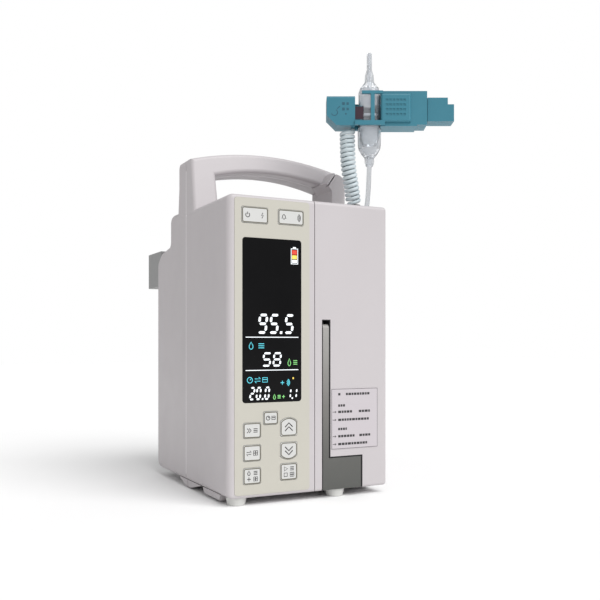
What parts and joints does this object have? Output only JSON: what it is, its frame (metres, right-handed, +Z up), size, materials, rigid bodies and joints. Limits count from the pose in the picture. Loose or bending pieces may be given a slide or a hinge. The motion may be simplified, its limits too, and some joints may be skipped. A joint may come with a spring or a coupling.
{
  "type": "infusion pump",
  "caption": "Bench and pole infusion pump with a carry handle, front display and keypad, latched door over a peristaltic tube channel, pole clamp, and a clip-on drop sensor on its drip chamber.",
  "frame": {"origin": "middle of the pump's base, on the surface that its feet stand on", "axes": "+X to the right of someone facing the front panel (the door's side), +Y to the rear, +Z up"},
  "size_m": [0.2016, 0.2897, 0.369],
  "materials": {
    "housing": "satin moulded lilac-grey ABS",
    "membrane": "fine-grained polyester membrane",
    "key": "soft satin key pad",
    "display": "glossy black display window",
    "lever": "satin grey moulding",
    "dark_plastic": "matt dark moulding",
    "inner_plastic": "matt light-grey moulding",
    "label": "printed polyester label",
    "rubber": "translucent white rubber",
    "black_rubber": "matt rubber",
    "steel": "bright steel",
    "spring_steel": "drawn wire",
    "cast": "as-cast, bead blasted",
    "clamp": "grey anodised casting",
    "acetal": "natural white acetal",
    "circuit": "solder-masked laminate",
    "cell": "shrink-wrapped cells",
    "teal": "satin teal moulding",
    "clear": "clear flexible polymer",
    "curly": "pale blue-grey cable jacket"
  },
  "bodies": {
    "pump_body": {"front_housing": "housing", "rear_housing": "housing", "battery_cover": "housing", "keypad_overlay": "membrane", "display_window": "display", "lcd_module": "dark_plastic", "keypad_board": "circuit", "main_board": "circuit", "power_board": "circuit", "battery_pack": "cell", "mains_inlet": "dark_plastic", "sensor_socket": "dark_plastic", "rubber_feet": "rubber", "housing_screws": "steel", "latch_keepers": "steel", "hinge_pins": "steel", "mechanism_plate": "cast", "shaft_bearings": "steel", "pump_fingers": "acetal", "timing_belt": "black_rubber", "stepper_motor": "dark_plastic", "bubble_sensor": "dark_plastic", "pressure_sensor": "steel", "drip_chamber": "clear", "bag_spike": "clear", "infusion_tube": "clear", "patient_line": "clear", "line_coil": "clear", "luer_connector": "clear", "sensor_body": "teal", "curly_cord": "curly", "sensor_plug": "dark_plastic", "clamp_body": "clamp", "clamp_bolts": "steel"},
    "door": {"door_shell": "housing", "door_liner": "inner_plastic", "door_label": "label", "lever_tray": "dark_plastic", "lever_pin": "steel", "platen_springs": "spring_steel"},
    "platen": {"platen": "steel"},
    "lever": {"latch_lever": "lever"},
    "latch": {"latch_bar": "steel"},
    "camshaft": {"camshaft": "steel", "cam_pulley": "acetal"},
    "motor_rotor": {"motor_pulley": "acetal"},
    "clamp_pad": {"clamp_pad": "black_rubber"},
    "clamp_screw": {"clamp_screw": "dark_plastic"},
    "sensor_jaw": {"sensor_slider": "teal"},
    "power_key": {"power_key": "key"},
    "alarm_key": {"alarm_key": "key"},
    "mode_key": {"mode_key": "key"},
    "fast_key": {"fast_key": "key"},
    "select_key": {"select_key": "key"},
    "drop_rate_key": {"drop_rate_key": "key"},
    "up_key": {"up_key": "key"},
    "down_key": {"down_key": "key"},
    "start_stop_key": {"start_stop_key": "key"}
  },
  "joints": [
    {"name": "door_hinge", "type": "hinge", "parent": "pump_body", "child": "door", "pos_m": [0.0675, -0.0778, 0.12], "axis": [0, 0, 1], "range_deg": [0, 110]},
    {"name": "platen_slide", "type": "slide", "parent": "door", "child": "platen", "axis": [0, -1, 0], "range_m": [0, 0.0015], "stiffness_N_per_m": 4000, "springref_m": -0.0005, "deforming": ["platen_springs"]},
    {"name": "lever_hinge", "type": "hinge", "parent": "door", "child": "lever", "pos_m": [0.0135, -0.0858, 0.1356], "axis": [-1, 0, 0], "range_deg": [0, 75]},
    {"name": "latch_slide", "type": "slide", "parent": "door", "child": "latch", "axis": [0, 0, 1], "range_m": [0, 0.0061]},
    {"name": "camshaft_spin", "type": "hinge", "parent": "pump_body", "child": "camshaft", "pos_m": [0.054, -0.05, 0.13], "axis": [0, 0, 1], "continuous": true},
    {"name": "motor_spin", "type": "hinge", "parent": "pump_body", "child": "motor_rotor", "pos_m": [0.025, -0.046, 0.19], "axis": [0, 0, 1], "continuous": true},
    {"name": "clamp_slide", "type": "slide", "parent": "pump_body", "child": "clamp_pad", "axis": [-1, 0, 0], "range_m": [0, 0.024]},
    {"name": "clamp_turn", "type": "hinge", "parent": "clamp_pad", "child": "clamp_screw", "pos_m": [0.02, 0.118, 0.19525], "axis": [-1, 0, 0], "range_deg": [0, 1445]},
    {"name": "sensor_jaw_slide", "type": "slide", "parent": "pump_body", "child": "sensor_jaw", "axis": [0.8902, -0.4555, 0], "range_m": [0, 0.007], "stiffness_N_per_m": 400, "springref_m": -0.002},
    {"name": "power_key_press", "type": "slide", "parent": "pump_body", "child": "power_key", "axis": [0, 1, 0], "range_m": [0, 0.0008], "stiffness_N_per_m": 1200, "springref_m": -0.0004},
    {"name": "alarm_key_press", "type": "slide", "parent": "pump_body", "child": "alarm_key", "axis": [0, 1, 0], "range_m": [0, 0.0008], "stiffness_N_per_m": 1200, "springref_m": -0.0004},
    {"name": "mode_key_press", "type": "slide", "parent": "pump_body", "child": "mode_key", "axis": [0, 1, 0], "range_m": [0, 0.0008], "stiffness_N_per_m": 1200, "springref_m": -0.0004},
    {"name": "fast_key_press", "type": "slide", "parent": "pump_body", "child": "fast_key", "axis": [0, 1, 0], "range_m": [0, 0.0008], "stiffness_N_per_m": 1200, "springref_m": -0.0004},
    {"name": "select_key_press", "type": "slide", "parent": "pump_body", "child": "select_key", "axis": [0, 1, 0], "range_m": [0, 0.0008], "stiffness_N_per_m": 1200, "springref_m": -0.0004},
    {"name": "drop_rate_key_press", "type": "slide", "parent": "pump_body", "child": "drop_rate_key", "axis": [0, 1, 0], "range_m": [0, 0.0008], "stiffness_N_per_m": 1200, "springref_m": -0.0004},
    {"name": "up_key_press", "type": "slide", "parent": "pump_body", "child": "up_key", "axis": [0, 1, 0], "range_m": [0, 0.0008], "stiffness_N_per_m": 1200, "springref_m": -0.0004},
    {"name": "down_key_press", "type": "slide", "parent": "pump_body", "child": "down_key", "axis": [0, 1, 0], "range_m": [0, 0.0008], "stiffness_N_per_m": 1200, "springref_m": -0.0004},
    {"name": "start_stop_key_press", "type": "slide", "parent": "pump_body", "child": "start_stop_key", "axis": [0, 1, 0], "range_m": [0, 0.0008], "stiffness_N_per_m": 1200, "springref_m": -0.0004}
  ],
  "couplings": [
    {"joint": "latch_slide", "follows": "lever_hinge", "m_per_rad": 0.004584},
    {"joint": "motor_spin", "follows": "camshaft_spin", "ratio": 2},
    {"joint": "clamp_turn", "follows": "clamp_slide", "rad_per_m": 1047.2}
  ]
}
